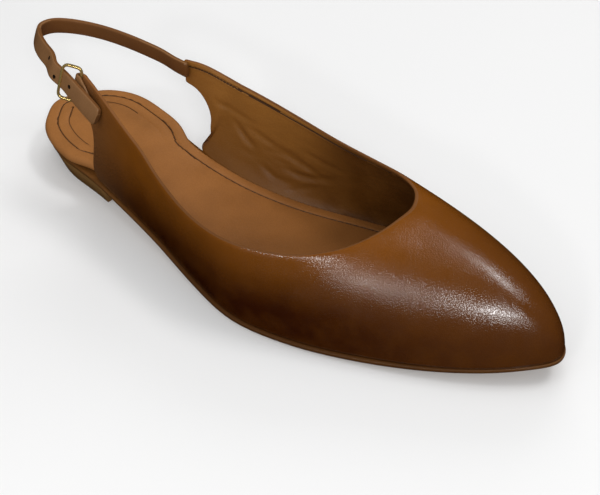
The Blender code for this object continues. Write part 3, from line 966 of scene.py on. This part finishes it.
heel.data.materials.append(
    leather("inked_heel_leather", (0.260, 0.130, 0.036), (0.170, 0.080, 0.020), 0.010, 0.001,
            roughness=0.42, coat=0.2, coat_roughness=0.25))
outsole.data.materials.append(
    leather("inked_sole_edge", (0.150, 0.058, 0.012), (0.090, 0.033, 0.007), 0.012, 0.002,
            roughness=0.4, coat=0.25, coat_roughness=0.2))
outsole.data.materials.append(
    leather("worn_sole_underside", (0.300, 0.170, 0.080), (0.200, 0.100, 0.040), 0.010, -0.002,
            roughness=0.7, coat=0.0, coat_roughness=0.3, relief=0.00004))
for face in outsole.data.polygons:
    face.material_index = UNDERSIDE if face.normal.z < FACES_DOWN else EDGE
underside = sum(face.material_index == UNDERSIDE for face in outsole.data.polygons)
print("faces on the sole's underside:", underside)

# %% [markdown]
# The buckle is polished brass. Real brass is never quite even: its colour drifts a little and
# fine scratches make the gloss softer in places.

# %% Finish the buckle
BRASS_DARK, BRASS_LIGHT = (0.62, 0.42, 0.12), (0.80, 0.58, 0.22)
BRASS_PATCH, SCRATCH, DENT, DENT_DEPTH = 0.003, 0.0008, 0.0004, 0.000006

finish = Finish("polished_brass")
buckle.data.materials.append(finish.shader(
    Base_Color=finish.mix(finish.noise(BRASS_PATCH, detail=3.0), BRASS_DARK, BRASS_LIGHT),
    Metallic=0.75, Roughness=0.16 + finish.noise(SCRATCH, detail=3.0) * 0.12,
    Normal=finish.bump(finish.noise(DENT), DENT_DEPTH)))
print("buckle finish:", buckle.data.materials[0].name)

# %% [markdown]
# The floor is a large pale sheet under an even white sky. The sky lights the shoe softly, and
# the floor gives it no light. Both are kept out of its reflections, which would wash out the
# dark polish.

# %% Lay the floor and set the sky
FLOOR_SIZE, FLOOR_AT = 40.0, (0.1, 0.0, -0.0001)
FLOOR_PATCH, PALE, PALER = 0.3, (0.80, 0.80, 0.80), (0.83, 0.83, 0.83)
WHITE = (1.0, 1.0, 1.0)
FLOOR_GLOW, SKY_STRENGTH = 0.04, 0.36

bpy.ops.object.select_all(action="DESELECT")
bpy.ops.mesh.primitive_plane_add(size=FLOOR_SIZE, location=FLOOR_AT)
floor = bpy.context.object
floor.name = "studio_floor"
finish = Finish("pale_floor")
floor.data.materials.append(finish.shader(
    Base_Color=finish.mix(finish.noise(FLOOR_PATCH), PALE, PALER),
    Roughness=0.9, Emission_Color=WHITE, Emission_Strength=FLOOR_GLOW))
floor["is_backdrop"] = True
floor.visible_diffuse = False
floor.visible_glossy = False

sky = bpy.data.worlds.new("studio")
sky.use_nodes = True
background = sky.node_tree.nodes["Background"]
background.inputs["Color"].default_value = (*WHITE, 1.0)
background.inputs["Strength"].default_value = SKY_STRENGTH
bpy.context.scene.world = sky
sky.cycles_visibility.glossy = False
bpy.context.scene.view_settings.view_transform = "Standard"
bpy.context.scene.view_settings.look = "None"
print("floor and sky are set")

# %% [markdown]
# The lamps are soft boxes round the vamp. The first four show in the polish as the long streaks,
# so their places matter as much as their strength. The last three only brighten what would be
# too dark, and show in no reflection.

# %% Place the lamps
LIT_POINT = Vector((0.75 * LENGTH, 0.0, 0.5 * HEIGHT))


def soft_box(name, turn, height, distance, size, power, shows=True):
    """A rectangular lamp, placed by its compass turn and its height over the floor in degrees."""
    turn, height = math.radians(turn), math.radians(height)
    towards = Vector((math.cos(turn) * math.cos(height), math.sin(turn) * math.cos(height),
                      math.sin(height)))
    lamp = bpy.data.lights.new(name, "AREA")
    lamp.shape, lamp.energy = "RECTANGLE", power
    lamp.size, lamp.size_y = size
    item = bpy.data.objects.new(name, lamp)
    item.location = LIT_POINT + towards * distance
    item.visible_glossy = shows
    item.rotation_euler = towards.to_track_quat("Z", "Y").to_euler()
    bpy.context.scene.collection.objects.link(item)


soft_box("main_box", -44.0, 36.0, 1.1, (0.24, 0.12), 3.6)
soft_box("second_box", -82.0, 30.0, 1.1, (0.14, 0.09), 1.4)
soft_box("back_box", 50.0, 64.0, 1.1, (0.40, 0.18), 2.5)
soft_box("low_sheet", -92.0, 2.0, 1.2, (0.40, 0.16), 0.10)
soft_box("overhead_box", 150.0, 82.0, 1.2, (0.9, 0.9), 3.4, shows=False)
soft_box("near_fill", -100.0, 50.0, 1.2, (0.8, 0.5), 1.6, shows=False)
soft_box("far_fill", 120.0, 32.0, 1.2, (0.8, 0.5), 3.0, shows=False)

# %% [markdown]
# The camera stands where the photographer stood: beside the little toe and above the shoe, and
# turned so that the toe points down to the right. Its place was found by matching the shoe's
# outline.

# %% Set the camera
SENSOR, FOCAL_LENGTH = 36.0, 66.67
CAMERA_PLACE = (0.339787, -0.258909, 0.308341)
CAMERA_TURN = (48.502, 0.694, 39.898)

lens = bpy.data.cameras.new("photo_camera")
lens.sensor_width = SENSOR
lens.lens = FOCAL_LENGTH
camera = bpy.data.objects.new("photo_camera", lens)
camera.location = CAMERA_PLACE
camera.rotation_euler = [math.radians(turn) for turn in CAMERA_TURN]
bpy.context.scene.collection.objects.link(camera)
bpy.context.scene.camera = camera
print("camera at", CAMERA_PLACE)

# %% [markdown]
# At the end the dressed shoe is measured against the solids.

# %% Measure and finish
visual_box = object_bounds()
for name, before, after in zip("xyz", zip(*cad_box), zip(*visual_box)):
    print(f"{name}: solids {1000 * before[0]:.1f} to {1000 * before[1]:.1f} mm, "
          f"dressed {1000 * after[0]:.1f} to {1000 * after[1]:.1f} mm")
